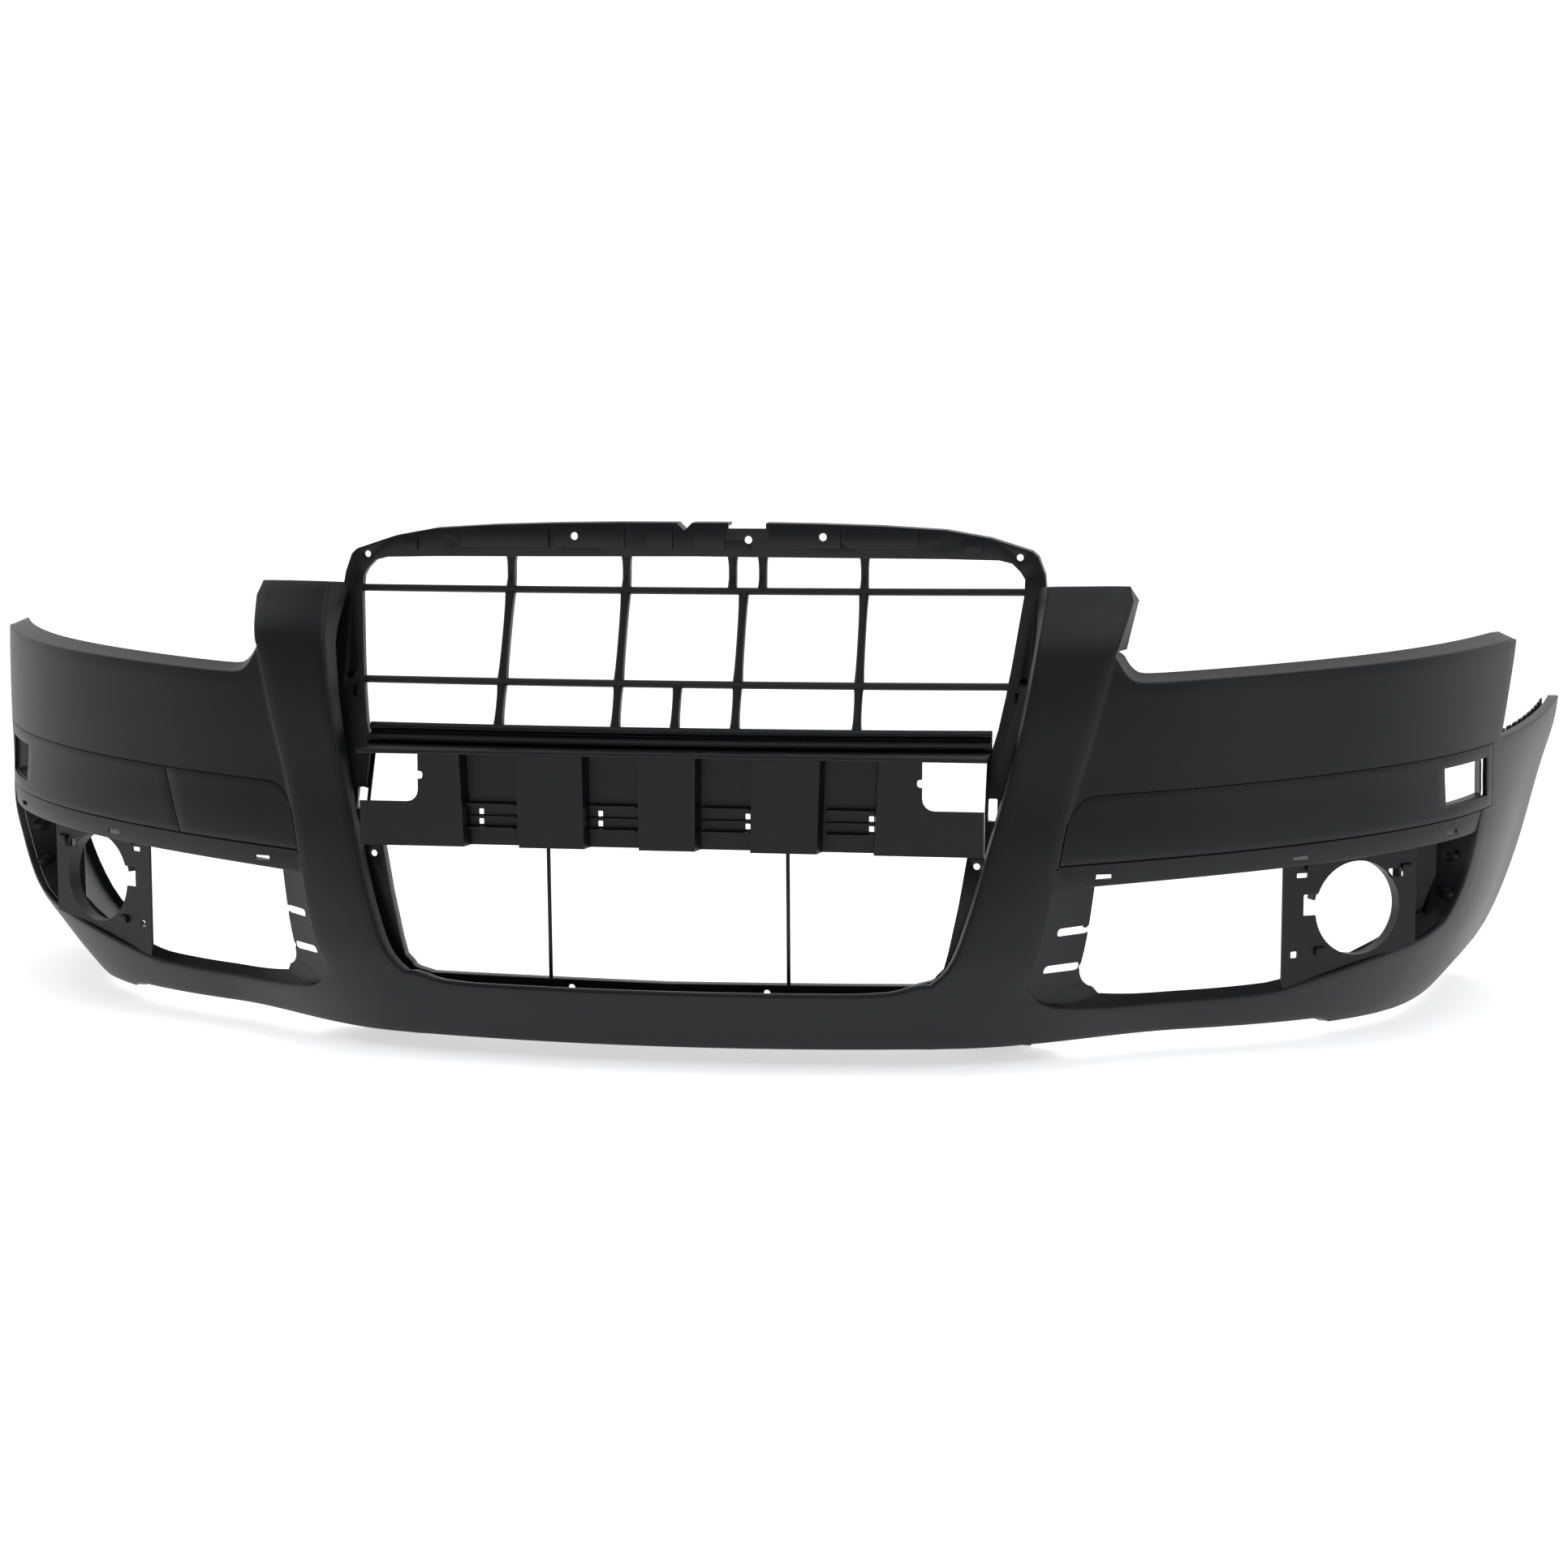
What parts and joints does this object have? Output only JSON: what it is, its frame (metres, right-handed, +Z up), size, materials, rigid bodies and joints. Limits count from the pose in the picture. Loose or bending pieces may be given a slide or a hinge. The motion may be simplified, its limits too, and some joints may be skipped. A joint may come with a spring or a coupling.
{
  "type": "front bumper cover",
  "caption": "Front bumper cover of a saloon car, primed, with grille carrier, plate panel, trim strips, vents, fog-lamp brackets and a hinged towing-eye cap.",
  "frame": {"origin": "middle of the bottom of the bounding box", "axes": "+X to the viewer's right across the car, -Y forwards out of the car's nose, +Z up"},
  "size_m": [1.8602, 0.7076, 0.538],
  "materials": {
    "primed_plastic": "satin dark grey primer on moulded polypropylene",
    "black_plastic": "bare black moulded plastic, slightly glossy"
  },
  "bodies": {
    "cover": {"cover_skin": "primed_plastic", "fender_guide_left": "black_plastic", "fender_guide_right": "black_plastic", "fog_lamp_bracket_left": "black_plastic", "fog_lamp_bracket_right": "black_plastic", "grille_cross_bar_lower": "black_plastic", "grille_cross_bar_upper": "black_plastic", "grille_frame": "black_plastic", "grille_lower_rail": "black_plastic", "grille_upright_bottom_1": "black_plastic", "grille_upright_bottom_2": "black_plastic", "grille_upright_bottom_3": "black_plastic", "grille_upright_bottom_4": "black_plastic", "grille_upright_bottom_5": "black_plastic", "grille_upright_middle_1": "black_plastic", "grille_upright_middle_2": "black_plastic", "grille_upright_middle_3": "black_plastic", "grille_upright_middle_4": "black_plastic", "grille_upright_top_1": "black_plastic", "grille_upright_top_2": "black_plastic", "grille_upright_top_3": "black_plastic", "grille_upright_top_4": "black_plastic", "grille_upright_top_5": "black_plastic", "lower_frame": "black_plastic", "marker_seat_left": "black_plastic", "marker_seat_right": "black_plastic", "plate_panel": "black_plastic", "strip_ledge_left": "black_plastic", "strip_ledge_right": "black_plastic", "support_rod_left": "black_plastic", "support_rod_right": "black_plastic", "trim_strip_left": "primed_plastic", "trim_strip_right": "primed_plastic", "under_panel": "black_plastic", "undertray_tab_left": "black_plastic", "undertray_tab_right": "black_plastic", "vent_liner_left": "primed_plastic", "vent_liner_right": "primed_plastic"},
    "towing_cap": {"tow_cover": "primed_plastic"}
  },
  "joints": [
    {"name": "towing_cap_hinge", "type": "hinge", "parent": "cover", "child": "towing_cap", "pos_m": [-0.54159, -0.24153, 0.244], "axis": [0.2839, -0.1929, -0.9393], "range_deg": [0, 75]}
  ]
}
